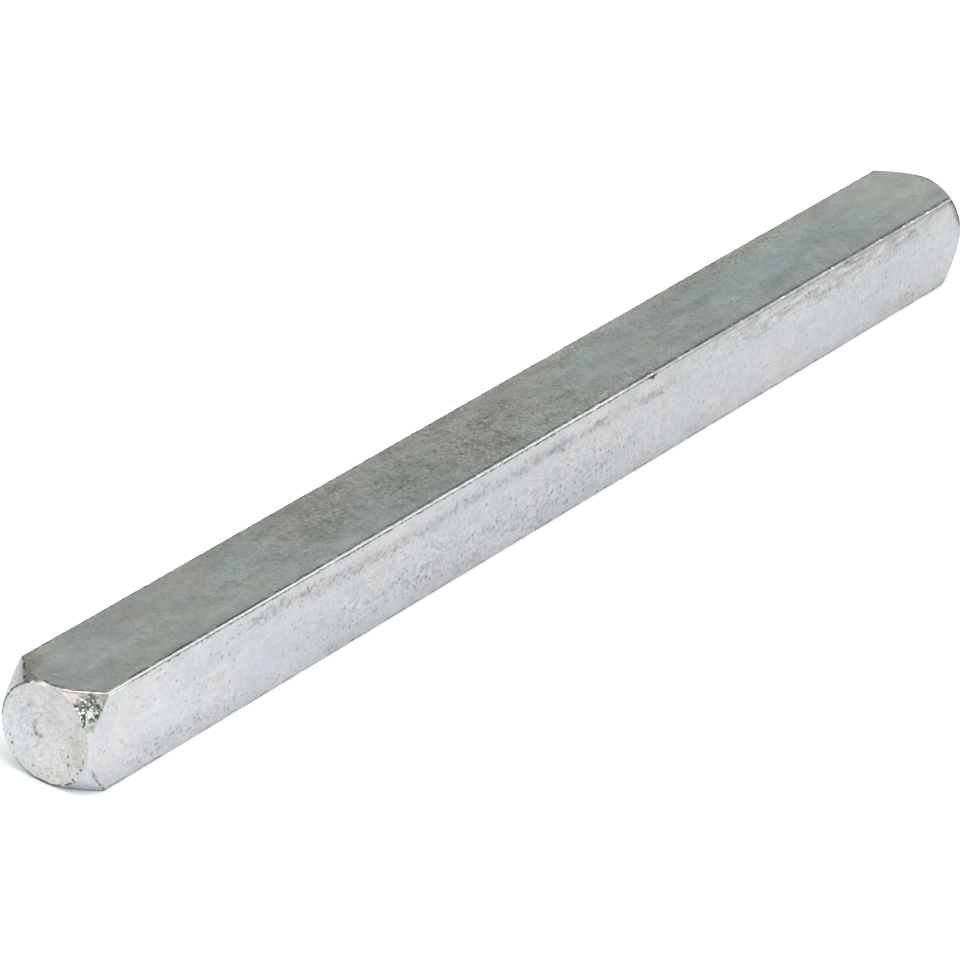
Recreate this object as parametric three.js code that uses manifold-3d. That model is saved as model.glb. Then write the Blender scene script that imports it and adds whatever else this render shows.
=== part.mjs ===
// A square drive spindle: one solid bar of cold-drawn, zinc-plated steel, with both ends turned to a bevel.
// Millimetres. The bar's axis is X, its top face looks along +Z, and the origin is the middle of the bar.
import * as THREE from "three";
import { mergeVertices } from "three/addons/utils/BufferGeometryUtils.js";
import Module from "manifold-3d";

// Driving dimensions
const ACROSS_FLATS = 8; // width and height of the square section
const LENGTH = 115; // from end face to end face
const EDGE_RADIUS = 0.2; // rounding that the drawing die leaves on the four long edges
const END_DIAMETER = 7.9; // round end face, just inside the flats
const BEVEL_LENGTH = 2; // how far the end bevel reaches back along the long edges

// Fineness of the facets
const EDGE_SEGMENTS = 4; // facets in each rounded long edge
const TURN_SEGMENTS = 96; // facets round the turned ends

// Worked out from the driving dimensions
const HALF_SIDE = ACROSS_FLATS / 2;
const HALF_LENGTH = LENGTH / 2;
const CORNER_REACH = (HALF_SIDE - EDGE_RADIUS) * Math.SQRT2 + EDGE_RADIUS; // from the axis to a rounded edge
const BEVEL_SLOPE = (CORNER_REACH - END_DIAMETER / 2) / BEVEL_LENGTH; // gain in radius per mm of length
const TRIM = 1; // how far the cutting shapes run past the bar

const { Manifold, Mesh } = await loadManifold();

async function loadManifold() {
  const wasm = await Module();
  wasm.setup();
  return wasm;
}

function toSolid(geometry) {
  const bare = geometry.clone();
  bare.deleteAttribute("normal");
  bare.deleteAttribute("uv");
  const merged = mergeVertices(bare, 1e-5);
  return new Manifold(
    new Mesh({
      numProp: 3,
      vertProperties: new Float32Array(merged.attributes.position.array),
      triVerts: new Uint32Array(merged.index.array),
    }),
  );
}

function toGeometry(solid) {
  const mesh = solid.getMesh();
  const geometry = new THREE.BufferGeometry();
  geometry.setAttribute("position", new THREE.BufferAttribute(mesh.vertProperties, 3));
  geometry.setIndex(new THREE.BufferAttribute(mesh.triVerts, 1));
  geometry.computeVertexNormals();
  return geometry;
}

// The drawn section: a square whose corners are small arcs.
function roundedSquare() {
  const straight = HALF_SIDE - EDGE_RADIUS;
  const outline = new THREE.Shape();
  outline.moveTo(straight, -HALF_SIDE);
  outline.absarc(straight, -straight, EDGE_RADIUS, -Math.PI / 2, 0);
  outline.absarc(straight, straight, EDGE_RADIUS, 0, Math.PI / 2);
  outline.absarc(-straight, straight, EDGE_RADIUS, Math.PI / 2, Math.PI);
  outline.absarc(-straight, -straight, EDGE_RADIUS, Math.PI, (3 * Math.PI) / 2);
  return outline;
}

// The bar stock, along X, longer than the finished bar.
function barStock() {
  const stock = new THREE.ExtrudeGeometry(roundedSquare(), {
    depth: LENGTH + 2 * TRIM,
    steps: 1,
    curveSegments: EDGE_SEGMENTS,
    bevelEnabled: false,
  });
  stock.translate(0, 0, -(HALF_LENGTH + TRIM));
  stock.rotateY(Math.PI / 2);
  return stock;
}

// What the lathe leaves: a round body as long as the finished bar, with a cone at each end.
function turnedEnvelope() {
  const endRadius = END_DIAMETER / 2;
  const widest = CORNER_REACH + TRIM;
  const coneLength = (widest - endRadius) / BEVEL_SLOPE;
  const profile = [
    new THREE.Vector2(0, -HALF_LENGTH),
    new THREE.Vector2(endRadius, -HALF_LENGTH),
    new THREE.Vector2(widest, -HALF_LENGTH + coneLength),
    new THREE.Vector2(widest, HALF_LENGTH - coneLength),
    new THREE.Vector2(endRadius, HALF_LENGTH),
    new THREE.Vector2(0, HALF_LENGTH),
  ];
  const envelope = new THREE.LatheGeometry(profile, TURN_SEGMENTS);
  envelope.rotateZ(-Math.PI / 2);
  return envelope;
}

function zincPlatedSteel() {
  return new THREE.MeshStandardMaterial({ color: 0xb9bdbd, roughness: 0.42, metalness: 0.9 });
}

function squareSpindle() {
  const finished = toSolid(barStock()).intersect(toSolid(turnedEnvelope()));
  const spindle = new THREE.Mesh(toGeometry(finished), zincPlatedSteel());
  spindle.name = "square_spindle";
  return spindle;
}

const object = new THREE.Group();
object.add(squareSpindle());

export default object;
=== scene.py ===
"""The looks of a square drive spindle: one bar of drawn steel, zinc plated, both ends turned to a bevel.

The bar's surface is one closed mesh, made station by station along the bar, with its wear in the geometry.
Where the stains, scuffs and grime lie, and the painted shade, highlights and glints, is worked out on the
same points and passed to the material.
Lengths inside the making functions are in millimetres, in the row frame: X along the bar, Z up.
"""
import math
import random

import bpy
import numpy as np
from mathutils import Matrix, Vector, noise


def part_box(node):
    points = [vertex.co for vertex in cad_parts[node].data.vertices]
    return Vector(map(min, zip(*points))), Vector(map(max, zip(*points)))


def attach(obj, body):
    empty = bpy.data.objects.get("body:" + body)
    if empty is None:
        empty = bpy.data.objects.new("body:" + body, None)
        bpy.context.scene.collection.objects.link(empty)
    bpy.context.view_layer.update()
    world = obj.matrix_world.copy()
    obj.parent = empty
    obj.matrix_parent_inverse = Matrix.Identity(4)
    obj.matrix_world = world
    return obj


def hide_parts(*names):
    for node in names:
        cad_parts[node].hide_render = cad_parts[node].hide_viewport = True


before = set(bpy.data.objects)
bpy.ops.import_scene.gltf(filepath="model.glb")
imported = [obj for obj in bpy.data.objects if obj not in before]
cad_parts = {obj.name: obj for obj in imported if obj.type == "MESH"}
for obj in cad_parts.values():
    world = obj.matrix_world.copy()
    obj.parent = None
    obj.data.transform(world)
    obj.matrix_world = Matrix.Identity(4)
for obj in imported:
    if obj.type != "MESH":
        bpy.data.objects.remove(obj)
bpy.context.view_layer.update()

MM = 0.001  # metres in a millimetre

# The bar, from the frame
BAR_LOW, BAR_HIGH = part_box("square_spindle")
HALF_LENGTH = (BAR_HIGH[0] - BAR_LOW[0]) / MM / 2
HALF_SIDE = (BAR_HIGH[2] - BAR_LOW[2]) / MM / 2

# Details that the box doesn't give
EDGE_RADIUS = 0.2  # rounding of the long edges
END_RADIUS = 3.95  # of the round end face
BEVEL_LENGTH = 2.0  # how far the bevel reaches back along the long edges
CREASE = 0.06  # softening where the bevel meets the flats and the end face
CORNER_REACH = (HALF_SIDE - EDGE_RADIUS) * math.sqrt(2) + EDGE_RADIUS  # from the axis to a rounded edge

# Fineness of the mesh
FLAT_STEPS = 34  # across each flat
ARC_STEPS = 6  # round each long edge
LENGTH_STEPS = 430  # along the flats
FACE_RINGS = 36  # from the middle of an end face to its rim
BEVEL_STEPS = 20  # down the bevel
CREASE_STEPS = 3  # round each softened crease

# The sides of the section in the order that the outline meets them, and the edge that follows each
BACK, TOP, FRONT, UNDER = range(4)
TOP_BACK, TOP_FRONT, UNDER_FRONT, UNDER_BACK = range(4)
NEAR, FAR = -1, 1

FAR_AWAY = 9.0  # stands for any distance too great to matter


# ---- The bare shape ----------------------------------------------------------------------------------


def section_outline():
    """The bar's section, once round from the back side over the top: its points, and for each point the
    side it is on, the nearest long edge, and the distance to that edge's middle along the outline."""
    straight = HALF_SIDE - EDGE_RADIUS
    crowding = 0.35  # of the points towards the edges
    t = np.linspace(-1, 1, FLAT_STEPS + 1)
    across = straight * ((1 + crowding) * t - crowding * t**3)
    turn = np.linspace(0, math.pi / 2, ARC_STEPS + 1)[1:-1]
    flat = np.c_[np.full_like(across, HALF_SIDE), across]
    arc = straight + EDGE_RADIUS * np.c_[np.cos(turn), np.sin(turn)]
    quarter = np.vstack([flat, arc])
    flat_gap = straight - np.abs(across) + EDGE_RADIUS * math.pi / 4
    gap = np.r_[flat_gap, EDGE_RADIUS * np.abs(turn - math.pi / 4)]
    next_side = np.r_[np.zeros(len(across)), turn > math.pi / 4].astype(int)
    next_edge = np.r_[across > 0, np.ones(len(turn))].astype(int)
    points, sides, edges = [], [], []
    for side in (BACK, TOP, FRONT, UNDER):
        c, s = round(math.cos(side * math.pi / 2)), round(math.sin(side * math.pi / 2))
        points.append(quarter @ np.array([[c, s], [-s, c]]))
        sides.append((side + next_side) % 4)
        edges.append((side + next_edge - 1) % 4)
    return np.vstack(points), np.concatenate(sides), np.concatenate(edges), np.tile(gap, 4)


def bend(start, corner, end):
    """Points of a smooth bend from start to end, pulled towards corner, with start and end left out."""
    rows = []
    for t in np.linspace(0, 1, CREASE_STEPS + 2)[1:-1]:
        rows.append((1 - t) ** 2 * start + 2 * t * (1 - t) * corner + t**2 * end)
    return rows


def bevel_length(reach):
    """How far back from the end the bevel meets the flats, for outline points this far from the axis."""
    return BEVEL_LENGTH * (reach - END_RADIUS) / (CORNER_REACH - END_RADIUS)


def end_profile(reach):
    """The lines from the middle of an end face out over its rim and down the bevel to the flats, one for
    each outline point. Rows of (distance from the end face, distance from the axis)."""
    bevel = bevel_length(reach)
    slant = np.hypot(bevel, reach - END_RADIUS)
    soft = np.minimum(CREASE, 0.4 * slant)
    rim = np.array([np.zeros_like(reach), np.full_like(reach, END_RADIUS)])
    heel = np.array([bevel, reach])
    down = (heel - rim) / slant
    rim_start, rim_end = rim - soft * np.array([[0.0], [1.0]]), rim + soft * down
    heel_start, heel_end = heel - soft * down, heel + soft * np.array([[1.0], [0.0]])
    rows = [rim_start * share for share in np.linspace(0, 1, FACE_RINGS + 1)[1:]]
    rows += bend(rim_start, rim, rim_end)
    rows += [rim_end + (heel_start - rim_end) * share for share in np.linspace(0, 1, BEVEL_STEPS + 1)]
    rows += bend(heel_start, heel, heel_end)
    rows.append(heel_end)
    return np.array(rows)


class Bar:
    """The points of the bare bar, a grid of stations along it by points round it, and where each one is."""

    def __init__(self):
        outline, sides, edges, gaps = section_outline()
        reach = np.hypot(outline[:, 0], outline[:, 1])
        facing = outline / reach[:, None]
        profile = end_profile(reach)
        first = profile[-1, 0]
        t = np.linspace(0, 1, LENGTH_STEPS + 1)[1:-1]
        spread = t - 0.25 * np.sin(2 * math.pi * t) / (2 * math.pi)  # a little finer towards the ends
        middle = [first - HALF_LENGTH + 2 * (HALF_LENGTH - first) * share for share in spread]
        near_end, far_end = list(profile), list(profile[::-1])
        stations = [row[0] - HALF_LENGTH for row in near_end] + middle
        stations += [HALF_LENGTH - row[0] for row in far_end]
        radii = [row[1] for row in near_end] + [reach] * len(middle) + [row[1] for row in far_end]
        x, radius = np.array(stations), np.array(radii)
        self.points = np.stack([x, radius * facing[:, 0], radius * facing[:, 1]], axis=-1)
        self.x, self.y, self.z = np.moveaxis(self.points, -1, 0)

        shape = x.shape
        self.side = np.broadcast_to(sides, shape)
        self.edge = np.broadcast_to(edges, shape)
        self.edge_gap = np.broadcast_to(gaps, shape)  # from the nearest long edge
        self.across = np.where((self.side == TOP) | (self.side == UNDER), self.y, self.z)
        self.end = np.sign(self.x)
        self.from_axis = radius
        self.past_heel = np.abs(x) - (HALF_LENGTH - bevel_length(reach))  # below 0 on the flats
        clear_of_ends = np.abs(x) < HALF_LENGTH - BEVEL_LENGTH - 0.5
        self.past_rim = np.where(clear_of_ends, FAR_AWAY, radius - END_RADIUS)
        rows = np.arange(len(x))
        from_end = np.minimum(rows, rows[::-1])[:, None]
        face_rows = FACE_RINGS + CREASE_STEPS
        bevel_rows = face_rows + BEVEL_STEPS + CREASE_STEPS + 1
        self.on_face = np.broadcast_to(from_end < face_rows, shape)
        self.on_bevel = np.broadcast_to((from_end >= face_rows) & (from_end < bevel_rows), shape)
        self.on_flat = ~self.on_face & ~self.on_bevel

    def normals(self):
        """Outward normals of the points, from their neighbours."""
        along = np.gradient(self.points, axis=0)
        around = np.roll(self.points, -1, axis=1) - np.roll(self.points, 1, axis=1)
        normal = np.cross(around, along)
        return normal / np.linalg.norm(normal, axis=-1, keepdims=True)

    def noise(self, size, seed):
        """Smooth noise of about -1 to 1, its features about size mm across: a number, or one per axis."""
        scaled = self.points.reshape(-1, 3) / np.asarray(size, float) + seed
        return np.array([noise.noise(p) for p in scaled.tolist()]).reshape(self.x.shape)

    def broken(self, size, seed, share):
        """0 to 1 in soft-edged flecks that cover about this share of the surface."""
        return np.clip(0.5 + 2.2 * (self.noise(size, seed) + 0.6 * (share - 0.5)), 0, 1)


def bump_of(distance, width):
    return np.exp(-((distance / width) ** 2))


def above(value, low, soft):
    """1 from low up, falling to 0 over soft below it."""
    return np.clip((value - low) / soft + 1, 0, 1)


def below(value, high, soft):
    """1 up to high, falling to 0 over soft past it."""
    return np.clip((high - value) / soft + 1, 0, 1)


def span(value, low, high, soft):
    """1 from low to high, falling to 0 over soft on either side."""
    return above(value, low, soft) * below(value, high, soft)


# ---- Wear and tool marks, as small moves of the surface ----------------------------------------------


NICKS_ON_AN_EDGE = 22
DEEP_NICK = (11.7, 0.35, 0.16)  # place along the front upper edge, half length, depth
DENT_COUNT = 60


def edge_wear(bar):
    """How far the long edges are knocked back: ragged all along, more so to the far end, with nicks."""
    clear_of_ends = np.clip((HALF_LENGTH - np.abs(bar.x) - 0.3) / 1.5, 0, 1)
    ragged = np.where(bar.edge == TOP_FRONT, 1.0, 0.25) * (0.60 + 0.40 * bar.x / HALF_LENGTH)
    coarse = np.clip(bar.noise((0.8, 3, 3), 11.3) + 0.15, 0, None)
    fine = np.clip(bar.noise((0.35, 1, 1), 5.1), 0, None)
    depth = ragged * (0.08 * coarse + 0.09 * fine)
    draw = random.Random(7)
    for edge in (TOP_BACK, TOP_FRONT, UNDER_FRONT, UNDER_BACK):
        deepest = 0.03 if edge == TOP_BACK else 0.06
        nicks = []
        for _ in range(NICKS_ON_AN_EDGE):
            nicks.append((draw.uniform(-54, 54), draw.uniform(0.15, 0.4), draw.uniform(0.01, deepest)))
        if edge == TOP_FRONT:
            nicks.append(DEEP_NICK)
        for place, half_length, cut in nicks:
            depth = depth + cut * bump_of(bar.x - place, half_length) * (bar.edge == edge)
    return -depth * bump_of(bar.edge_gap, 0.24) * clear_of_ends


def dents(bar):
    """Small knocks on the flats."""
    draw = random.Random(19)
    places = np.argwhere(bar.on_flat & (bar.edge_gap > 0.6))  # away from the long edges
    move = np.zeros(bar.x.shape)
    for _ in range(DENT_COUNT):
        centre = bar.points[tuple(places[draw.randrange(len(places))])]
        width, depth = draw.uniform(0.25, 0.7), draw.uniform(0.006, 0.022)
        move -= depth * bump_of(np.linalg.norm(bar.points - centre, axis=-1), width)
    return move


# Middle of the turning on each end face, as (y, z)
TURNING_CENTRE = {NEAR: (0.42, 0.25), FAR: (-0.3, 0.1)}
PIP_RING = 0.62  # radius of the ring round the small pip that the tool left
RING_SPACING = 0.62  # of the shallow rings outside it


def turning_radius(bar, end):
    centre = TURNING_CENTRE[end]
    return np.hypot(bar.y - centre[0], bar.z - centre[1])


def turned_face(bar, end):
    """The end face as the lathe left it: a small pip in a ring, and shallow rings that fade outwards."""
    radius = turning_radius(bar, end)
    pip = 0.07 * bump_of(radius, 0.3) - 0.06 * bump_of(radius - PIP_RING, 0.16)
    rings = 0.010 * np.sin(radius * 2 * math.pi / RING_SPACING) * np.clip(1 - radius / 3.2, 0, 1)
    return pip + rings + 0.020 * bar.noise(0.8, 3.7 + end)


def torn_metal(bar):
    """Where the bevel is broken out instead of turned, 0 to 1: one corner at each end."""
    corner = np.where(bar.end == NEAR, bar.edge == TOP_FRONT, bar.edge == UNDER_BACK)
    round_front = np.where((bar.side == FRONT) | (bar.side == BACK), bar.edge_gap, -bar.edge_gap)
    inner = span(bar.from_axis, END_RADIUS, 4.95, 0.3)
    return np.where(bar.on_bevel & corner, span(round_front, -0.75, 1.65, 0.5) * inner, 0.0)


def facets(bar, seed, size):
    """Broken metal: flat facets at chance angles, each about size mm across."""
    move = []
    for point in (bar.points.reshape(-1, 3) / size + seed).tolist():
        cell = noise.voronoi(point)[1][0]
        tilt = noise.cell_vector(cell * 7.31)
        move.append((tilt - Vector((0.5, 0.5, 0.5))).dot(Vector(point) - cell))
    return np.array(move).reshape(bar.x.shape)


def burr(bar):
    """The lip that turning threw up where the top flat stops, 0 to 1, ragged along its length."""
    y = bar.y * -bar.end
    at_rim = bump_of(bar.past_rim, 0.13) * span(y, 0.4, 2.1, 0.3)
    at_heel = bump_of(bar.past_heel, 0.11) * span(y, -3.8, 0.4, 0.3) * (bar.past_rim > -0.15)
    line = np.maximum(at_rim, at_heel) * (bar.z > 0) * (np.abs(bar.x) > HALF_LENGTH - BEVEL_LENGTH - 0.2)
    return line * (0.45 + 0.55 * bar.broken(0.45, 31.0, 0.6))


def surface_move(bar):
    """How far each point stands off the bare shape."""
    move = 0.010 * bar.noise((9, 3, 3), 2.2) + 0.004 * bar.noise((1.6, 1.0, 1.0), 8.8)
    move = move + edge_wear(bar) + dents(bar)
    for end in (NEAR, FAR):
        move = np.where(bar.on_face & (bar.end == end), move + turned_face(bar, end), move)
    torn = torn_metal(bar)
    return move + torn * (0.26 * facets(bar, 4.4, 0.30) - 0.05) + 0.045 * burr(bar)


# ---- Which marks go where ----------------------------------------------------------------------------

# Marks on the flats. Each is an oval: place along, place across, half length, half width, strength. Blue
# and olive are passivation colours, brown is stain, grain is sandy texture, scuff is broken dark rubbing,
# worn is dull metal in long streaks, bright is bare metal and painted highlight, grime_and_shade is a dark
# speck or line of grime and, beside some edges, of painted shade, and tone is lighter or darker.
MARKS = {
    TOP: {
        "blue": [
            (-53, 0.8, 4, 2.2, 0.5), (-33.5, 1.0, 3, 1.3, 0.9), (-24, -2.8, 7, 0.9, 0.5),
            (13, 1.8, 5, 1.4, 0.8), (34, 0.2, 10, 2.6, 0.9), (46, -0.8, 6, 1.8, 0.5),
            (24, 0.8, 6, 1.8, 0.5),
        ],
        "olive": [
            (-24.5, -1.0, 3.2, 1.0, 1.0), (-14, -0.3, 5, 1.4, 1.0), (-44, -1.5, 8, 1.6, 0.25),
            (0, -1.5, 6, 2.2, 0.7), (-6, 2.0, 10, 1.6, 0.5), (-51, -2.2, 5, 1.2, 0.2),
        ],
        "brown": [
            (-26, 1.6, 6, 1.8, 0.8), (-8, 3.0, 13, 1.1, 0.8), (11, 3.2, 5, 0.8, 0.8),
            (36, 3.2, 10, 0.9, 0.7), (-4, 0.3, 8, 2.6, 0.9), (-36, 3.3, 9, 0.7, 0.4),
            (54, 1, 4, 3.5, 0.35), (-54.5, 2.8, 1.6, 0.9, 1.0), (24, 3.2, 5, 0.8, 0.4),
        ],
        "grain": [
            (-26, 0.8, 8, 3.2, 0.65), (-12, 0.0, 10, 4.5, 0.8), (-2, -0.6, 8, 3.5, 0.8),
            (8, -3.2, 7, 1.0, 0.7), (34, 3.2, 12, 0.9, 0.7), (-46, -0.6, 7, 1.4, 0.25),
            (12, 3.2, 5, 0.8, 0.6), (-38, 0, 4, 2, 0.3), (15, 0, 8, 4, 0.3), (30, -1, 12, 4, 0.35),
        ],
        "grime_and_shade": [
            (15.9, 3.0, 0.35, 0.2, 0.5), (15.3, 1.9, 0.2, 0.3, 0.4), (-54.6, 2.9, 0.9, 0.6, 0.45),
            (6.5, 0.75, 2.0, 0.08, 0.45), (23, 0.6, 1.8, 0.08, 0.4), (-18, 0.7, 0.9, 0.12, 0.45),
            (-9.5, -0.2, 1.5, 0.3, 0.34), (-5, 0.4, 0.8, 0.12, 0.4),
        ],
        "scuff": [
            (-6.5, 3.3, 3.5, 0.6, 0.7), (-24, 0.5, 4, 1.5, 0.35), (-13, 0.2, 5, 1.6, 0.45),
            (-9, -2.6, 6, 1.0, 0.35), (2, -2.4, 3, 0.8, 0.4), (14.5, 2.8, 2.2, 0.8, 0.6),
            (32, 3.1, 6, 0.7, 0.9), (39, 2.6, 3, 0.5, 0.7), (22, 0.8, 5, 0.3, 0.6),
            (31, -1.8, 3, 0.8, 0.4), (25, -0.6, 3, 0.4, 0.5), (13, -2.6, 5, 1.0, 0.35),
            (-52, -3.0, 3, 0.6, 0.3), (-36, 3.4, 8, 0.4, 0.5), (-22, 3.2, 5, 0.6, 0.6),
            (1, 3.2, 3, 0.5, 0.7), (8, 3.0, 3, 0.5, 0.5), (-26, -0.6, 3, 1.2, 0.5),
            (-49, 2.6, 3, 0.6, 0.4),
        ],
        "tone": [
            (-14, 0, 15, 4, -0.13), (52, 0, 6, 4, 0.15), (36, 0, 9, 3, 0.04),
            (31, -2.0, 3, 0.8, -0.08), (0, 0.2, 7, 1.2, -0.05), (-44, -0.5, 4, 2.5, -0.04),
        ],
    },
    FRONT: {
        "blue": [
            (-34, -0.4, 4.5, 1.7, 0.55), (-12, 0.6, 6, 1.2, 0.35), (24, 1.2, 8, 1.4, 0.25),
            (38, -0.6, 6, 2.0, 0.5), (-26, -2.8, 6, 1.0, 0.3), (50, 0.5, 5, 1.8, 0.3),
        ],
        "olive": [
            (-46, 1.8, 5, 1.6, 0.25), (14, 3.2, 8, 0.8, 0.4), (26, 3.0, 8, 1.0, 0.3),
            (53, 3.2, 3, 0.8, 0.5), (55.5, -3.6, 2, 1.2, 0.9),
        ],
        "brown": [
            (35, 2.8, 8, 0.9, 0.25), (46, 3.0, 7, 0.7, 0.3), (53, 3.0, 3, 1.0, 0.5),
            (56.4, -3.9, 1.6, 0.7, 1.0),
        ],
        "worn": [
            (20, 2.9, 5, 0.9, 0.5), (28, 2.8, 6, 1.1, 0.8), (36, 2.8, 6, 1.1, 1.0),
            (44, 3.0, 6, 0.9, 1.0), (52, 3.3, 4, 0.6, 0.7), (43, 3.7, 12, 0.5, 0.5),
        ],
        "grain": [
            (-47, -2.6, 7, 1.1, 0.35), (-24, -1.0, 8, 2.0, 0.3), (-8, -1.8, 13, 2.0, 0.4),
            (4, -1.0, 8, 2.4, 0.3), (36, 2.6, 14, 1.2, 0.3), (48, -3.0, 4, 0.8, 0.2),
        ],
        "scuff": [
            (-47, -2.8, 7, 0.7, 0.50), (-12, -2.2, 9, 1.3, 0.40), (2, -1.6, 6, 1.6, 0.35),
            (-24, -1.6, 7, 1.2, 0.3), (-37, 2.8, 4.0, 0.50, 1.5), (-30, 2.4, 4, 0.6, 1.1),
            (-23, 2.0, 4, 0.5, 1.1), (-16, 2.1, 2, 0.5, 0.9), (-11.5, 2.4, 2.6, 0.6, 1.5),
            (-4, 2.4, 3.2, 0.5, 1.3), (0, 2.4, 2.2, 0.5, 1.4), (5, 2.4, 2.4, 0.5, 1.4),
            (10.5, 2.3, 2, 0.5, 0.9), (14, 2.1, 3.5, 0.4, 0.6), (24, 2.2, 4, 0.6, 0.3),
            (33, 2.4, 4, 0.8, 0.25), (40, 2.6, 5, 0.7, 0.2), (47, 2.2, 2, 0.5, 0.4),
            (49.5, -2.8, 2.0, 0.5, 0.4),
        ],
        "bright": [
            (5.6, 2.6, 1.2, 0.3, 0.3),
        ],
        "grime_and_shade": [
            (-56.4, -1.9, 0.25, 0.15, 0.7), (-56.2, -2.4, 0.2, 0.15, 0.6), (47.3, 2.2, 0.3, 0.2, 0.5),
            (-22, 1.45, 2.4, 0.05, 0.4), (29.5, -1.0, 0.3, 0.2, 0.38), (2.3, 0.5, 0.3, 0.2, 0.4),
            (-5.8, 1.9, 0.2, 0.10, 0.55), (-0.8, 2.4, 0.3, 0.12, 0.5), (11.8, 3.72, 0.40, 0.22, 0.8),
        ],
        "tone": [
            (0, 0, 150, 9, -0.03), (-53, 0, 8, 4, 0.14), (-40, 0, 8, 4, 0.06), (-12, -1, 14, 3, -0.01),
            # painted shade: the mark at -3.7 across darkens the front along its bottom, beside the floor's
            # shade
            (35, 2.9, 14, 0.8, -0.05), (0, -3.7, 70, 0.8, -0.07), (-14, 2.4, 22, 0.5, -0.055),
            (9, 0, 12, 5, -0.03), (50, 0, 10, 5, -0.02), (48, -2.8, 2.5, 0.7, -0.08),
            (56.2, -3.9, 1.6, 0.7, -0.25),
        ],
    },
}
LAYERS = ("blue", "olive", "brown", "pink", "grain", "scuff", "worn", "pitted", "bright", "grime_and_shade", "tone")

# Marks of each layer on a side that has no plan, and the strongest they get where that isn't 0.9
CHANCE_COUNT = 7
CHANCE_STRENGTH = {"bright": 0.3, "grime_and_shade": 0.4, "tone": 0.08, "pink": 0.3, "pitted": 0.1}


def chance_marks(seed):
    """Marks like those of the top and front, for a side that has no plan of its own."""
    draw = random.Random(seed)
    plan = {}
    for layer in LAYERS:
        most = CHANCE_STRENGTH.get(layer, 0.9)
        plan[layer] = [
            (
                draw.uniform(-52, 52),
                draw.uniform(-3.5, 3.5),
                draw.uniform(2, 9) * (0.2 if layer == "grime_and_shade" else 1.0),
                draw.uniform(0.6, 2.0) * (0.3 if layer == "grime_and_shade" else 1.0),
                draw.uniform(0.4, 1.0) * most,
            )
            for _ in range(CHANCE_COUNT)
        ]
    return plan


def ovals(bar, marks, warp):
    """Soft ovals with ragged outlines, added up."""
    mask = np.zeros(bar.x.shape)
    for along, across, half_length, half_width, strength in marks:
        distance = np.hypot((bar.x - along) / half_length, (bar.across - across) / half_width) + 0.55 * warp
        mask += strength * np.clip(1.5 - distance, 0, 1)
    return mask


def flat_marks(bar):
    """Every layer over the four flats."""
    warp = bar.noise((3.0, 1.2, 1.2), 41.0) + 0.5 * bar.noise((0.9, 0.5, 0.5), 17.0)
    plans = {**MARKS, BACK: chance_marks(100), UNDER: chance_marks(200)}
    layers = {name: np.zeros(bar.x.shape) for name in LAYERS}
    for side, plan in plans.items():
        here = bar.on_flat & (bar.side == side)
        for name, marks in plan.items():
            layers[name] += np.where(here, ovals(bar, marks, warp), 0)
    drift = 0.04 * bar.noise((7, 2.5, 2.5), 61.0) + 0.04 * bar.noise((2.5, 1.0, 1.0), 67.0)
    drift = drift * np.where(bar.side == FRONT, 0.6, 3.0)
    layers["tone"] += np.where(bar.on_flat, drift, 0)
    return layers


# Lines of grime, and of painted shade, beside the long edges: edge, side, distance from the edge's middle,
# half width, dash length, share marked, how much of it never breaks, strength
EDGE_GRIME_AND_SHADE = [
    # painted shade: the dark line on the top beside the front upper edge is a painted dark reflection
    (TOP_FRONT, TOP, 0.34, 0.10, 0.6, 0.70, 0.60, 0.95),
    (TOP_FRONT, FRONT, 0.06, 0.09, 0.28, 0.75, 0.30, 0.88),
    (TOP_BACK, TOP, 0.13, 0.16, 0.5, 0.65, 0.35, 0.65),
    (TOP_BACK, BACK, 0.30, 0.12, 0.6, 0.50, 0.0, 0.60),
    # painted shade: the dark lines low on the front and back flats, beside the lower edges, stand in for the
    # floor's shade that these edges mirror
    (UNDER_FRONT, FRONT, 0.10, 0.13, 1.4, 0.85, 0.0, 0.60),
    (UNDER_FRONT, UNDER, 0.30, 0.12, 0.7, 0.50, 0.0, 0.60),
    (UNDER_BACK, BACK, 0.10, 0.13, 1.4, 0.80, 0.0, 0.60),
    (UNDER_BACK, UNDER, 0.30, 0.12, 0.7, 0.50, 0.0, 0.60),
]


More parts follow.
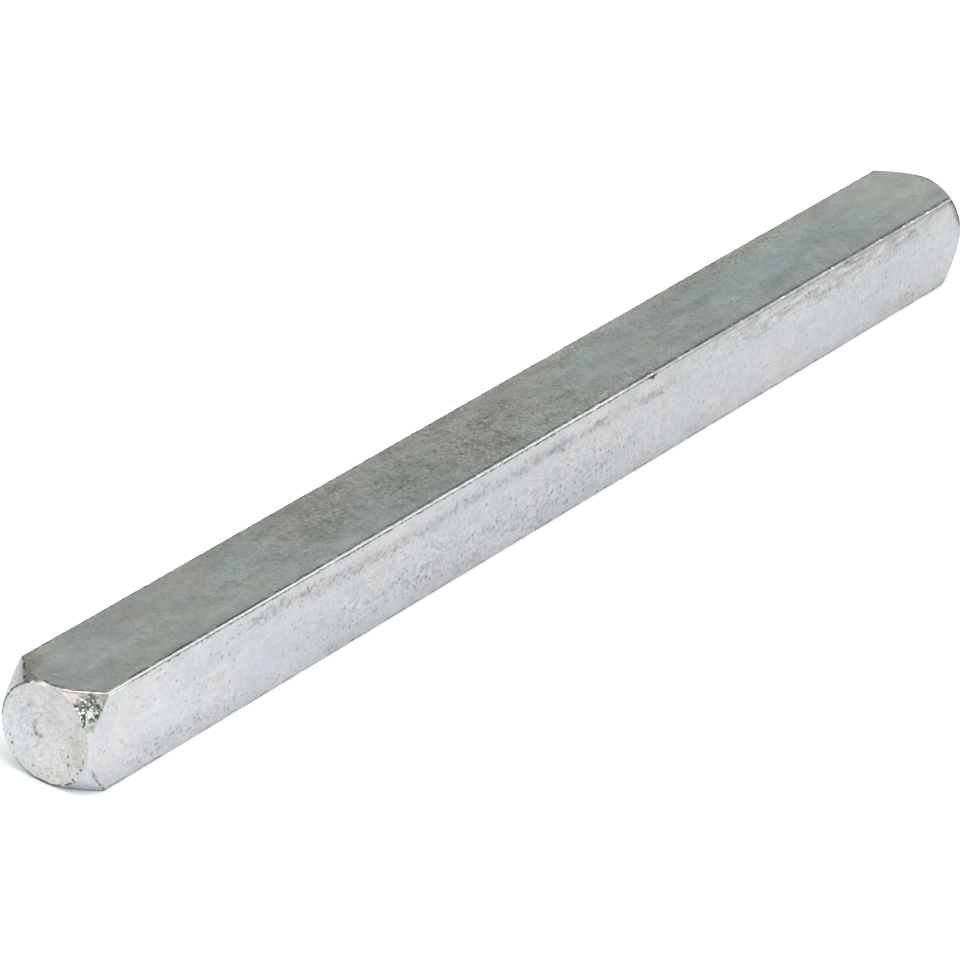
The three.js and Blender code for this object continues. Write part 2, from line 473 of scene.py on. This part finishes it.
def edge_marks(bar, layers):
    """Grime caught beside the long edges, painted shade beside the front upper edge and the lower edges,
    and the edges themselves rubbed bright, partly as a painted highlight.
    """
    clear = bar.on_flat * np.clip((HALF_LENGTH - np.abs(bar.x) - 1.9) / 0.3, 0, 1)
    near_tip = above(-bar.x, 53.8, 1.5)
    knocked = above(bar.x, 20, 16)  # the front edge is rougher and duller towards the far end
    rubbed_off = above(bar.x, 24, 15)  # and has no grime below it there
    shift = 0.05 * above(-bar.x, 36, 12)  # its marks lie lower, and are weaker, towards the near end
    for i, (edge, side, distance, half_width, dash, share, unbroken, strength) in enumerate(EDGE_GRIME_AND_SHADE):
        dashes = unbroken + (1 - unbroken) * bar.broken((dash, 1, 1), 70.0 + i, share)
        lowered = (shift if side == FRONT else -shift) * (bar.edge == TOP_FRONT)
        wander = 0.07 * bar.noise((0.8, 9, 9), 30.0 + i) + lowered
        line = bump_of(bar.edge_gap - distance - wander, half_width) * dashes
        fading = 1 - np.maximum(near_tip * 0.8, rubbed_off * (side == FRONT)) * (bar.edge == TOP_FRONT)
        fading = fading - 5.0 * shift * (edge == TOP_FRONT) * (side == FRONT)
        layers["grime_and_shade"] += strength * line * clear * fading * ((bar.edge == edge) & (bar.side == side))
    front_edge = clear * (bar.edge == TOP_FRONT)
    over_top = np.where(bar.side == TOP, bar.edge_gap, -bar.edge_gap)
    # painted shade: a darker band on the top beside the front upper edge, a painted dark reflection
    layers["tone"] -= 0.12 * front_edge * (bar.side == TOP) * bump_of(bar.edge_gap - 0.42, 0.17)
    layers["tone"] -= 0.14 * knocked * front_edge * (bar.side == TOP) * bump_of(bar.edge_gap - 0.38, 0.15)
    beside = bump_of(bar.edge_gap - 0.25, 0.30) * (bar.side == FRONT)
    layers["tone"] -= front_edge * beside * (0.05 * knocked + 0.15 * above(bar.x, 36, 8))
    dulled = 0.18 * knocked + 0.16 * above(bar.x, 44, 8)
    layers["tone"] -= dulled * front_edge * bump_of(over_top - 0.12, 0.22)
    # painted highlight: the light strip along the front upper edge is rubbed bare metal and a painted
    # highlight
    front_rubbed_and_highlight = 1.05 * bump_of(over_top - 0.15 + shift, 0.13)
    rubbed_and_highlight = np.where(bar.edge == TOP_FRONT, front_rubbed_and_highlight, 0.5 * bump_of(bar.edge_gap, 0.13))
    # painted highlight: lighter still near the near end's tip
    rubbed_and_highlight = np.maximum(rubbed_and_highlight, 0.9 * near_tip * bump_of(over_top, 0.24) * (bar.edge == TOP_FRONT))
    # painted glints: where the edge is knocked, the light strip breaks into glints
    glints = 1 - knocked * (1 - 1.3 * bar.broken((0.6, 1, 1), 93.0, 0.03)) + 0.3 * near_tip
    layers["bright"] += clear * rubbed_and_highlight * glints * (0.75 + 0.6 * bar.noise((0.6, 2, 2), 91.0))


# Pits on the end faces, as (y, z, radius) for the near one
END_PITS = [
    (-2.17, -0.98, 0.20), (-2.67, -0.92, 0.14), (-2.23, -1.67, 0.20), (-2.98, -1.58, 0.16),
    (2.88, -1.88, 0.26), (1.82, -2.96, 0.16), (0.92, -2.96, 0.20), (0.18, -3.38, 0.16),
    (-0.42, -3.29, 0.18), (-0.67, -1.96, 0.14), (3.0, 0.13, 0.16), (2.13, 0.46, 0.15),
    (-1.0, 1.33, 0.12), (-3.6, -0.7, 0.20), (-3.5, -1.1, 0.16), (-2.7, -2.7, 0.18), (0.79, -0.35, 0.17),
    (0.98, 0.1, 0.11), (0.42, -0.42, 0.11), (-3.4, 1.9, 0.2), (-3.35, -1.62, 0.22), (-3.1, -2.05, 0.16),
]


def end_place(bar, end):
    """Which points are at this end, and their y and z, turned half round the bar's axis at the far end."""
    return bar.end == end, bar.y * -end, bar.z * -end


def face_marks(bar, layers, end):
    """Pits, stains and turning marks on an end face, and painted shade on one side of the pip's ring."""
    here, y, z = end_place(bar, end)
    face = bar.on_face & here
    radius = turning_radius(bar, end)
    pits = np.zeros(bar.x.shape)
    for place, height, size in END_PITS:
        pits = np.maximum(pits, bump_of(np.hypot(y - place, z - height), size))
    # painted shade: a darker, browner crescent on one side of the ring round the pip
    crescent_shade = bump_of(radius - PIP_RING, 0.16) * np.clip((y - 0.35) * 1.6 - (z - 0.3) * 0.5, 0, 1)
    layers["grime_and_shade"] += face * 0.70 * pits
    layers["brown"] += face * crescent_shade
    layers["grain"] += face * 0.35
    layers["brown"] += face * 0.2
    layers["pitted"] += face * np.clip(0.36 - 0.11 * y - 0.11 * z, 0.10, 0.9)
    stain = bump_of(y + 3.1, 1.1) * bump_of(z + 0.1, 1.6) + bump_of(y + 1.6, 2.0) * bump_of(z + 3.1, 0.8)
    layers["brown"] += face * 0.9 * stain
    layers["olive"] += face * (1.0 * bump_of(y + 2.6, 1.3) * bump_of(z + 1.2, 1.8) + 0.6 * crescent_shade)
    layers["blue"] += face * 0.6 * bump_of(y - 2.9, 0.9) * bump_of(z + 1.1, 0.8)
    arcs = bump_of(radius - 1.15, 0.12) + bump_of(radius - 1.85, 0.12)
    faint_arcs = arcs * np.clip(y / 2 + z / 2, 0, 1)
    layers["tone"] += face * (0.09 - 0.03 * z - 0.12 * faint_arcs - 0.34 * crescent_shade)
    layers["tone"] -= face * 0.10 * bump_of(y + 2.9, 1.0) * bump_of(z + 0.8, 1.8)


def outline_marks(bar, layers, end):
    """Grime along the rim and where the bevel meets the flats, and the burr made bright as rubbed metal and
    as a painted highlight.
    """
    here, y, z = end_place(bar, end)
    at_rim = bump_of(bar.past_rim, 0.13) * (bar.past_heel > -0.2)
    outline = at_rim * bar.broken(0.5, 83.0 + end, 0.9) * here
    upper_rim, lower_rim = above(y, 1.5, 0.3) * above(z, 0.1, 0.3), below(z, -3.1, 0.5)
    layers["grime_and_shade"] += outline * (0.8 * upper_rim + 0.75 * lower_rim)
    under_heel = bump_of(bar.past_heel, 0.14) * (bar.side == UNDER) * below(y, 1.5, 1.0) * here
    under_heel = under_heel * (bar.past_rim > -0.15)
    layers["grime_and_shade"] += 0.75 * under_heel
    beside = (end == NEAR) * bump_of(bar.past_heel + 0.26, 0.13) * (bar.side == TOP)
    beside = beside * span(y, -3.4, 0.9, 0.4) * here * bar.on_flat
    layers["grime_and_shade"] += 0.85 * beside * bar.broken(0.6, 57.0 + end, 0.65)
    crease = bump_of(bar.past_heel, 0.20) * (bar.side == FRONT) * below(z, -1.8, 0.5) * here
    layers["grime_and_shade"] += crease * 0.64 * (0.7 + 0.3 * bar.broken(0.4, 77.0, 0.6))
    layers["tone"] -= 0.25 * crease
    # painted highlight: the burr along the top rim made light, as rubbed metal and as its highlight
    layers["bright"] += burr(bar) * here * 0.9


def bevel_marks(bar, layers, end):
    """The bevel: at the near end pinkish beside the torn corner and stained at the back, bluish below and
    painted lighter there, with painted dark reflections atop the torn corner.
    """
    here, y, z = end_place(bar, end)
    bevel = bar.on_bevel & here
    upper_front = bevel & (bar.edge == TOP_FRONT)
    upper_back = bevel & (bar.edge == TOP_BACK) & (bar.side == TOP)
    fold = 2.0 + 1.1 * (bar.from_axis - END_RADIUS)  # the stain starts along a line from the tip to the rim
    lower = bevel & (bar.z < 0)
    beside_tear = upper_front * above(z, 2.3, 0.8)
    stained = upper_back * span(y, 1.0, fold, 0.25)
    layers["grime_and_shade"] += 0.85 * upper_back * bump_of(y - fold, 0.20) * bar.broken(0.3, 63.0, 0.7)
    layers["pink"] += beside_tear
    layers["brown"] += stained + 0.35 * bevel * (bar.side == FRONT) * bump_of(z + 0.8, 0.8)
    layers["blue"] += lower * 0.4
    # painted light: the lower bevel made lighter against the floor's shade that it mirrors
    layers["tone"] += 0.18 * upper_front * (1 - beside_tear) - 0.30 * stained + 0.12 * lower
    # painted reflection: dark on the top of the torn corner
    layers["grime_and_shade"] += 0.3 * torn_metal(bar) * above(bar.z, 3.1, 0.5)
    layers["grain"] += bevel * 0.3
    layers["scuff"] += stained


def near_corner_marks(bar, layers):
    """A stain on the top flat, at the back of the near end."""
    stain = bar.on_flat * (bar.end == NEAR) * (bar.side == TOP)
    stain = stain * above(bar.y, 2.4, 0.8) * above(bar.past_heel, -0.9, 0.9)
    layers["brown"] += stain
    layers["tone"] -= 0.16 * stain
    layers["scuff"] += 0.9 * stain


def far_corner_marks(bar, layers):
    """The far end's upper front corner, dark and stained, and a line of grime where its bevel starts."""
    here = bar.end == FAR
    sliver = bar.on_bevel & here & ((bar.side == FRONT) | (bar.side == TOP)) & (bar.edge == TOP_FRONT)
    layers["tone"] -= 0.45 * sliver
    corner = bar.on_flat * here * (bar.side == FRONT)
    corner = corner * above(bar.past_heel, -0.35, 0.35) * above(bar.z, 1.6, 1.2)
    layers["tone"] -= 0.34 * corner
    layers["olive"] += sliver + corner
    layers["brown"] += corner
    rim_line = bump_of(bar.past_heel + 0.04, 0.12) * (bar.side == FRONT) * here
    rim_line = rim_line * bar.broken(0.8, 29.0, 0.7)
    layers["grime_and_shade"] += rim_line * (0.38 + 0.5 * above(bar.z, 1.2, 1.0))
    top_line = bump_of(bar.past_heel + 0.02, 0.10) * (bar.side == TOP) * here
    layers["grime_and_shade"] += 0.5 * top_line


def surface_layers(bar):
    layers = flat_marks(bar)
    edge_marks(bar, layers)
    for end in (NEAR, FAR):
        face_marks(bar, layers, end)
        outline_marks(bar, layers, end)
        bevel_marks(bar, layers, end)
    near_corner_marks(bar, layers)
    far_corner_marks(bar, layers)
    layers["torn"] = torn_metal(bar)
    layers["on_face"] = bar.on_face
    return layers


# ---- The mesh ----------------------------------------------------------------------------------------


def spindle_mesh():
    bar = Bar()
    moved = bar.points + bar.normals() * surface_move(bar)[..., None]
    stations, count = bar.x.shape
    middles = [moved[0].mean(axis=0), moved[-1].mean(axis=0)]
    verts = np.vstack([moved.reshape(-1, 3), middles])
    quads = []
    for i in range(stations - 1):
        for j in range(count):
            k = (j + 1) % count
            quads.append((i * count + j, (i + 1) * count + j, (i + 1) * count + k, i * count + k))
    near_middle, far_middle = stations * count, stations * count + 1
    last = (stations - 1) * count
    for j in range(count):
        k = (j + 1) % count
        quads.append((near_middle, j, k))
        quads.append((far_middle, last + k, last + j))

    mesh = bpy.data.meshes.new("plated_spindle")
    mesh.from_pydata((verts * MM).tolist(), [], quads)
    mesh.validate()
    mesh.polygons.foreach_set("use_smooth", [True] * len(mesh.polygons))
    for name, values in surface_layers(bar).items():
        add_attribute(mesh, name, values)
    return mesh


def add_attribute(mesh, name, values):
    """A number for each vertex. The two middle vertices of the end faces take their neighbours' value."""
    values = np.asarray(values, float)
    flat = np.r_[values.ravel(), values[0].mean(), values[-1].mean()]
    mesh.attributes.new(name, "FLOAT", "POINT").data.foreach_set("value", flat.astype(np.float32))


# ---- Materials ---------------------------------------------------------------------------------------


class Graph:
    """Adds nodes to a material, so that a pattern reads as one expression."""

    def __init__(self, name):
        self.material = bpy.data.materials.new(name)
        self.material.use_nodes = True
        self.tree = self.material.node_tree
        self.shader = self.tree.nodes["Principled BSDF"]

    def node(self, kind, inputs=(), **settings):
        made = self.tree.nodes.new(kind)
        for key, value in settings.items():
            setattr(made, key, value)
        for socket, value in dict(inputs).items():
            self.feed(made.inputs[socket], value)
        return made

    def feed(self, socket, value):
        if isinstance(value, bpy.types.NodeSocket):
            self.tree.links.new(value, socket)
        else:
            socket.default_value = value

    def math(self, operation, a, b=0.0):
        return self.node("ShaderNodeMath", {0: a, 1: b}, operation=operation).outputs[0]

    def plus(self, first, *others):
        for other in others:
            first = self.math("ADD", first, other)
        return first

    def times(self, first, *others):
        for other in others:
            first = self.math("MULTIPLY", first, other)
        return first

    def less(self, value):
        """What is left of 1."""
        return self.math("SUBTRACT", 1.0, value)

    def about_zero(self, value):
        return self.math("SUBTRACT", value, 0.5)

    def step(self, value, low, high):
        """0 below low, 1 above high, and smooth between; falling where low is above high."""
        made = self.node("ShaderNodeMapRange", {"Value": value}, interpolation_type="SMOOTHSTEP")
        up = low < high
        self.feed(made.inputs["From Min"], low if up else high)
        self.feed(made.inputs["From Max"], high if up else low)
        self.feed(made.inputs["To Min"], 0.0 if up else 1.0)
        self.feed(made.inputs["To Max"], 1.0 if up else 0.0)
        return made.outputs["Result"]

    def attribute(self, name):
        return self.node("ShaderNodeAttribute", attribute_name=name).outputs["Fac"]

    def stretch(self, vector, scale, shift=(0, 0, 0)):
        inputs = {"Vector": vector, "Scale": scale, "Location": shift}
        return self.node("ShaderNodeMapping", inputs).outputs[0]

    def noise(self, vector, size, detail=2.0, roughness=0.5):
        inputs = {"Vector": vector, "Scale": 1 / size, "Detail": detail, "Roughness": roughness}
        return self.node("ShaderNodeTexNoise", inputs).outputs["Fac"]

    def dots(self, vector, size, spread, keep, sharp=0.25):
        """Round dots, up to 1 in the middle: cells of size mm, each dot up to spread of its cell across.
        Keep is the share of cells that have a dot, and sharp the share of its width at full strength."""
        cells = self.node("ShaderNodeTexVoronoi", {"Vector": vector, "Scale": 1 / size, "Randomness": 1.0})
        chance = self.node("ShaderNodeSeparateColor", {"Color": cells.outputs["Color"]})
        width = self.times(self.plus(chance.outputs["Red"], 0.4), spread)
        spot = self.math("DIVIDE", cells.outputs["Distance"], width)
        strength = self.plus(0.25, self.times(chance.outputs["Blue"], 0.75))
        kept = self.math("LESS_THAN", chance.outputs["Green"], keep)
        return self.times(self.step(spot, 1.0, sharp), strength, kept)

    def mix(self, share, a, b, blend="MIX"):
        made = self.node("ShaderNodeMix", data_type="RGBA", blend_type=blend)
        self.feed(made.inputs[0], share)
        self.feed(made.inputs[6], a)
        self.feed(made.inputs[7], b)
        return made.outputs[2]

    def grey(self, value):
        return self.node("ShaderNodeCombineColor", {"Red": value, "Green": value, "Blue": value}).outputs[0]


GROOVE_SPACING = 0.16  # of the fine turning grooves

ZINC = (0.536, 0.534, 0.558, 1)
WARM_ZINC = (0.564, 0.540, 0.556, 1)
BLUE_ZINC = (0.480, 0.535, 0.585, 1)
OLIVE_ZINC = (0.475, 0.510, 0.478, 1)
BROWN_ZINC = (0.503, 0.475, 0.445, 1)
PINK_ZINC = (0.500, 0.450, 0.440, 1)
FLECK = (0.190, 0.187, 0.192, 1)
PIT = (0.120, 0.105, 0.085, 1)
WORN = (0.530, 0.517, 0.508, 1)
# bare zinc, also the colour of painted highlights and painted glints
BRIGHT_ZINC = (0.860, 0.870, 0.875, 1)
# colour of the painted glints on the torn corners
TORN_GLINT = (0.800, 0.865, 0.872, 1)
# colour of grime, of painted shade and of painted dark reflections
GRIME_AND_SHADE = (0.050, 0.056, 0.052, 1)


class PlatedSteel(Graph):
    """The zinc plating: the patterns that its colours and relief share, and a method for each layer."""

    def __init__(self):
        super().__init__("zinc_plated_steel")
        coords = self.node("ShaderNodeTexCoord").outputs["Object"]
        self.place = self.stretch(coords, (1 / MM,) * 3)  # in mm
        self.apart = self.stretch(self.place, (1, 1, 1), (37.0, 11.0, 23.0))  # keeps patterns from lining up

        self.cloud = self.noise(self.place, 1.6, 2.0, 0.6)
        self.blotch = self.noise(self.apart, 0.7, 2.0, 0.6)
        self.speck = self.noise(self.place, 0.30, 2.0, 0.6)
        self.dust = self.noise(self.apart, 0.13, 1.0, 0.5)
        smeared = self.stretch(self.place, (0.22, 1.0, 1.0), (1.7, 4.1, 9.3))
        self.streaks = self.noise(smeared, 0.42, 3.0, 0.7)
        self.drawn = self.stretch(self.place, (0.06, 1.0, 1.0), (3.1, 5.2, 7.4))  # long along the bar

        self.grain = self.attribute("grain")
        self.scuff = self.attribute("scuff")
        self.worn = self.attribute("worn")
        self.torn = self.attribute("torn")

        self.flecks = self.fleck_pattern()
        wobble = self.grey(self.times(self.dust, 0.15))
        made = self.node("ShaderNodeVectorMath", {0: self.place, 1: wobble}, operation="ADD")
        self.wavering = made.outputs[0]  # so that dots aren't quite round
        keep = self.plus(0.06, self.times(self.scuff, 0.66), self.times(self.grain, 0.36))
        self.specks = self.dots(self.wavering, 0.40, 0.43, keep)
        pit_place = self.stretch(self.wavering, (1, 1, 1), (2.5, 7.3, 4.1))
        self.pits = self.dots(pit_place, 0.36, 0.42, self.attribute("pitted"), 0.1)
        self.breaks = self.noise(self.apart, 0.24, 1.0, 0.5)
        self.dirt_and_shade = self.dirt_and_shade_pattern()

    def fleck_pattern(self):
        """Flecks that crowd together where the surface is sandy or scuffed."""
        fleck_noise = self.noise(self.stretch(self.apart, (0.6, 1.0, 1.0)), 0.30, 2.0, 0.55)
        clouding = self.times(self.about_zero(self.cloud), 0.25)
        density = self.plus(self.times(self.grain, 0.04), self.times(self.scuff, 0.13), clouding)
        return self.step(self.plus(fleck_noise, density), 0.62, 0.76)

    def dirt_and_shade_pattern(self):
        """Grime and painted shade, broken up by fine noise, and painted dark reflections on the torn
        corners.
        """
        # painted reflections: dark spots on the torn corners stand in for the dark surroundings that their
        # facets mirror
        torn_dark_reflections = self.times(self.torn, self.step(self.breaks, 0.48, 0.42))
        breaking = self.plus(0.30, self.times(self.noise(self.place, 0.22, 2.0, 0.6), 1.3))
        dirt_and_shade = self.step(self.times(self.attribute("grime_and_shade"), breaking), 0.34, 0.62)
        return self.math("MAXIMUM", dirt_and_shade, torn_dark_reflections)

    def stained(self):
        """The plating's colour: passivation colours that drift over the zinc, and the stains on it."""
        mottle = self.noise(self.place, 5.0, 3.0, 0.55)
        colour = self.mix(self.step(mottle, 0.40, 0.66), ZINC, WARM_ZINC)
        blue = self.times(self.attribute("blue"), self.step(self.cloud, 0.10, 0.62))
        colour = self.mix(blue, colour, BLUE_ZINC)
        olive = self.times(self.attribute("olive"), self.step(self.cloud, 0.62, 0.36))
        colour = self.mix(olive, colour, OLIVE_ZINC)
        brown = self.times(self.attribute("brown"), self.step(self.blotch, 0.30, 0.60))
        colour = self.mix(brown, colour, BROWN_ZINC)
        colour = self.mix(self.attribute("pink"), colour, PINK_ZINC)
        return self.mix(self.times(self.worn, 0.55), colour, WORN)

    def shaded(self, colour):
        """Light and dark texture at every scale, stronger in the sandy patches."""
        long_lines = self.noise(self.drawn, 0.7, 3.0, 0.6)
        shade = self.plus(1.0, self.attribute("tone"), self.times(self.about_zero(long_lines), 0.08))
        textures = (
            (self.cloud, 0.20, 0.30),
            (self.blotch, 0.22, 0.38),
            (self.speck, 0.28, 0.55),
            (self.dust, 0.36, 0.55),
        )
        for pattern, plain, sandy in textures:
            strength = self.plus(plain, self.times(self.grain, sandy))
            shade = self.plus(shade, self.times(self.about_zero(pattern), strength))
        shade = self.plus(shade, self.times(self.scuff, self.step(self.blotch, 0.35, 0.65), -0.11))
        streaked = self.plus(-0.01, self.times(self.about_zero(self.streaks), 0.95))
        shade = self.plus(shade, self.times(self.worn, streaked))
        return self.mix(1.0, colour, self.grey(shade), "MULTIPLY")

    def flecked(self, colour):
        """Dark flecks, dots and pits, with a few painted glints among them as light dots."""
        colour = self.mix(self.times(self.flecks, 0.40), colour, FLECK)
        colour = self.mix(self.times(self.specks, 0.76), colour, FLECK)
        keep = self.plus(self.times(self.grain, 0.16), self.times(self.worn, 0.5))
        # painted glints: light dots on the sandy and worn patches
        light = self.dots(self.stretch(self.wavering, (1, 1, 1), (5.5, 3.3, 1.1)), 0.5, 0.26, keep)
        colour = self.mix(self.times(light, 0.55), colour, BRIGHT_ZINC)
        return self.mix(self.times(self.pits, 0.55), colour, PIT)

    def rubbed_and_highlight(self, colour):
        """Bare metal where the edges are rubbed, with a painted highlight, painted glints on the torn
        corners, and the grime, painted shade and painted dark reflections over all.
        """
        rubbing_and_highlight = self.times(self.attribute("bright"), self.plus(0.35, self.times(self.speck, 1.3)))
        colour = self.mix(self.times(self.step(rubbing_and_highlight, 0.38, 0.70), 0.9), colour, BRIGHT_ZINC)
        # painted glints: light cyan-grey spots on the torn corners stand in for the facets' glints
        torn_glints = self.times(self.torn, self.step(self.breaks, 0.50, 0.58))
        colour = self.mix(torn_glints, colour, TORN_GLINT)
        return self.mix(self.times(self.dirt_and_shade, 0.85), colour, GRIME_AND_SHADE)

    def roughness(self):
        brownness = self.times(self.attribute("brown"), 0.06)
        rough = self.plus(0.36, self.times(self.about_zero(self.speck), 0.16), brownness)
        return self.math("SUBTRACT", rough, self.times(self.torn, 0.16))

    def turning_grooves(self):
        """Fine grooves round the near end's turning centre, which the far end shares."""
        axes = self.node("ShaderNodeSeparateXYZ", {"Vector": self.place})
        y = self.math("SUBTRACT", axes.outputs["Y"], TURNING_CENTRE[NEAR][0])
        z = self.math("SUBTRACT", axes.outputs["Z"], TURNING_CENTRE[NEAR][1])
        radius = self.math("SQRT", self.plus(self.times(y, y), self.times(z, z)))
        return self.math("SINE", self.times(radius, 2 * math.pi / GROOVE_SPACING))

    def relief(self):
        """Draw lines, crystal grain, flecks and turning grooves: their height in mm, as a bent normal."""
        on_face = self.attribute("on_face")
        lines = self.noise(self.drawn, 0.16, 3.0, 0.65)
        height = self.times(self.about_zero(lines), self.less(on_face), 0.004)
        height = self.plus(height, self.times(self.speck, self.plus(0.006, self.times(self.grain, 0.014))))
        height = self.plus(height, self.times(self.dust, self.plus(0.002, self.times(self.grain, 0.006))))
        height = self.plus(height, self.times(self.flecks, -0.006), self.times(self.specks, -0.012))
        height = self.plus(height, self.times(self.dirt_and_shade, -0.010), self.times(self.pits, -0.025))
        height = self.plus(height, self.times(self.streaks, self.worn, 0.06))
        height = self.plus(height, self.times(self.turning_grooves(), on_face, 0.003))
        height = self.plus(height, self.times(self.blotch, self.torn, 0.05))
        bump = self.node("ShaderNodeBump", {"Height": height, "Distance": MM, "Strength": 1.0})
        return bump.outputs["Normal"]


def plated_steel():
    g = PlatedSteel()
    colour = g.rubbed_and_highlight(g.flecked(g.shaded(g.stained())))
    g.feed(g.shader.inputs["Base Color"], colour)
    g.feed(g.shader.inputs["Roughness"], g.roughness())
    g.feed(g.shader.inputs["Normal"], g.relief())
    g.shader.inputs["Metallic"].default_value = 1.0
    return g.material


def pale_floor_material():
    g = Graph("pale_floor")
    g.shader.inputs["Base Color"].default_value = (0.855, 0.855, 0.895, 1)
    g.shader.inputs["Emission Color"].default_value = (1.0, 1.0, 1.0, 1)
    g.shader.inputs["Emission Strength"].default_value = 0.07
    g.shader.inputs["Roughness"].default_value = 0.9
    g.shader.inputs["Specular IOR Level"].default_value = 0.1
    return g.material


# ---- The studio --------------------------------------------------------------------------------------


def add_object(name, data):
    made = bpy.data.objects.new(name, data)
    bpy.context.scene.collection.objects.link(made)
    return made


def direction(azimuth, elevation):
    """Unit vector from the bar towards this azimuth (0 is -Y, 90 is +X) and elevation, in degrees."""
    a, e = math.radians(azimuth), math.radians(elevation)
    return Vector((math.sin(a) * math.cos(e), -math.cos(a) * math.cos(e), math.sin(e)))


FLOOR_RADIUS = 6.0  # in metres
FLOOR_CORNERS = 96


def make_floor():
    """A pale disc that the bar lies on."""
    height = BAR_LOW[2]
    turns = [2 * math.pi * i / FLOOR_CORNERS for i in range(FLOOR_CORNERS)]
    ring = [(FLOOR_RADIUS * math.cos(turn), FLOOR_RADIUS * math.sin(turn), height) for turn in turns]
    mesh = bpy.data.meshes.new("floor")
    mesh.from_pydata(ring, [], [tuple(range(FLOOR_CORNERS))])
    mesh.materials.append(pale_floor_material())
    floor = add_object("floor", mesh)


def make_light(name, azimuth, elevation, distance, size, power):
    """A round soft light facing the bar; distance and size in metres, power in watts."""
    light = bpy.data.lights.new(name, "AREA")
    light.shape = "DISK"
    light.size = size
    light.energy = power
    made = add_object(name, light)
    towards = direction(azimuth, elevation)
    made.location = towards * distance
    made.rotation_euler = towards.to_track_quat("Z", "Y").to_euler()


STUDIO_TINT = (0.945, 1.025, 0.925)
GLOW_DIRECTION = direction(-80, 25)


def make_world():
    """A plain studio: pale at the horizon, a grey band above it, light overhead, and a glow on one side."""
    world = bpy.data.worlds.new("studio")
    bpy.context.scene.world = world
    world.use_nodes = True
    nodes, links = world.node_tree.nodes, world.node_tree.links
    coords = nodes.new("ShaderNodeTexCoord")
    axes = nodes.new("ShaderNodeSeparateXYZ")
    ramp = nodes.new("ShaderNodeValToRGB")
    links.new(coords.outputs["Generated"], axes.inputs[0])
    links.new(axes.outputs["Z"], ramp.inputs[0])
    stops = [(0.0, 0.85), (0.12, 0.75), (0.30, 0.46), (0.62, 0.46), (1.0, 0.86)]  # height, light
    colours = ramp.color_ramp
    while len(colours.elements) < len(stops):
        colours.elements.new(0.5)
    for element, (height, value) in zip(colours.elements, stops):
        element.position = height
        element.color = (*(value * tint for tint in STUDIO_TINT), 1)
    towards = nodes.new("ShaderNodeVectorMath")
    towards.operation = "DOT_PRODUCT"
    links.new(coords.outputs["Generated"], towards.inputs[0])
    towards.inputs[1].default_value = GLOW_DIRECTION
    glow = nodes.new("ShaderNodeMapRange")
    glow.interpolation_type = "SMOOTHSTEP"
    links.new(towards.outputs["Value"], glow.inputs["Value"])
    glow.inputs["To Min"].default_value = 1.0
    glow.inputs["To Max"].default_value = 1.7
    background = nodes["Background"]
    links.new(ramp.outputs[0], background.inputs["Color"])
    links.new(glow.outputs["Result"], background.inputs["Strength"])


# The camera's place round the bar, from the photograph's perspective. Angles are in degrees.
CAMERA_AZIMUTH = -56.0
CAMERA_ELEVATION = 28.1
CAMERA_ROLL = -4.5
CAMERA_DISTANCE = 0.4824  # in metres
CAMERA_AIM = Vector((-0.0025, 0.0018, -0.0020))
CAMERA_LENS = 233.7  # focal length in mm, on Blender's usual 36 mm sensor


def make_camera():
    back = direction(CAMERA_AZIMUTH, CAMERA_ELEVATION)
    level = (-back).cross(Vector((0, 0, 1))).normalized()
    down = (-back).cross(level)
    roll = math.radians(CAMERA_ROLL)
    right = level * math.cos(roll) + down * math.sin(roll)
    up = back.cross(right)
    data = bpy.data.cameras.new("camera")
    data.lens = CAMERA_LENS
    data.clip_start = 0.01
    camera = add_object("camera", data)
    turn = Matrix((right, up, back)).transposed().to_4x4()
    camera.matrix_world = Matrix.Translation(CAMERA_AIM + back * CAMERA_DISTANCE) @ turn
    bpy.context.scene.camera = camera


def main():
    make_camera()
    make_world()
    make_floor()
    make_light("key", -12, 66, 1.1, 0.9, 6.5)
    make_light("fill", -130, 58, 1.1, 0.9, 2.1)
    make_light("edge", 84, 33, 0.8, 0.45, 1.0)
    bpy.context.scene.view_settings.view_transform = "Standard"

    spindle = add_object("plated_spindle", spindle_mesh())
    spindle.data.materials.append(plated_steel())
    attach(spindle, "root")
    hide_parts("square_spindle")


main()
